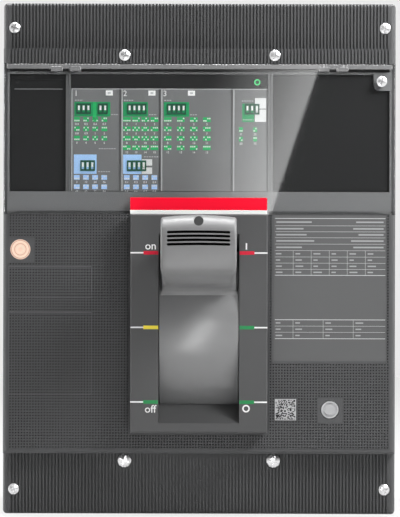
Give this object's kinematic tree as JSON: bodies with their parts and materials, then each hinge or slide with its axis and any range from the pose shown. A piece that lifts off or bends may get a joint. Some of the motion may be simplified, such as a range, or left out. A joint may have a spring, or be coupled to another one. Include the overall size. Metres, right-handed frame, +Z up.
{
  "type": "moulded housing circuit breaker",
  "caption": "Moulded circuit breaker with a toggle lever, a test button, terminal bars and a trip unit behind a clear cover.",
  "frame": {"origin": "centre of the back mounting face", "axes": "+Z up along the height, +X to the right seen from the front, the front faces -Y"},
  "size_m": [0.2112, 0.1661, 0.275],
  "materials": {
    "base_moulding": "fine matt texture",
    "cover_moulding": "fine matt texture",
    "frame_moulding": "satin",
    "surround_moulding": "satin",
    "lever_moulding": "satin",
    "skirt_moulding": "satin",
    "clear_plastic": "clear",
    "trip_unit_face": "satin",
    "dark_panel": "satin",
    "switch_green": "satin",
    "white_plastic": "gloss",
    "ready_green": "gloss",
    "red_strip": "satin",
    "label_grey": "satin film",
    "seal_film": "gloss film",
    "button_grey": "satin",
    "zinc_steel": "zinc plated",
    "tinned_copper": "bright"
  },
  "bodies": {
    "housing": {"base": "base_moulding", "main_cover": "cover_moulding", "window_frame": "frame_moulding", "line_terminal_cover": "cover_moulding", "load_terminal_cover": "cover_moulding", "surround": "surround_moulding", "lever_pin": "zinc_steel", "clear_cover": "clear_plastic", "trip_unit": "trip_unit_face", "trip_unit_header": "dark_panel", "rating_panel": "dark_panel", "blank_panel": "dark_panel", "switch_blocks": "switch_green", "switch_levers": "white_plastic", "indicator_lights": "white_plastic", "ready_light": "ready_green", "name_strip": "red_strip", "strip_trim": "white_plastic", "data_plate": "label_grey", "code_plate": "label_grey", "round_seal": "seal_film", "line_bar_left": "tinned_copper", "line_bar_middle": "tinned_copper", "line_bar_right": "tinned_copper", "load_bar_left": "tinned_copper", "load_bar_middle": "tinned_copper", "load_bar_right": "tinned_copper", "corner_screws": "zinc_steel", "main_cover_screws": "zinc_steel", "load_cover_screws": "zinc_steel", "clear_cover_screw": "zinc_steel"},
    "lever": {"lever_grip": "lever_moulding", "lever_skirt": "skirt_moulding"},
    "button": {"test_button": "button_grey"}
  },
  "joints": [
    {"name": "lever_swing", "type": "hinge", "parent": "housing", "child": "lever", "pos_m": [0, -0.065, -0.037], "axis": [1, 0, 0], "range_deg": [0, 50]},
    {"name": "button_press", "type": "slide", "parent": "housing", "child": "button", "axis": [0, 1, 0], "range_m": [0, 0.003], "stiffness_N_per_m": 600}
  ]
}
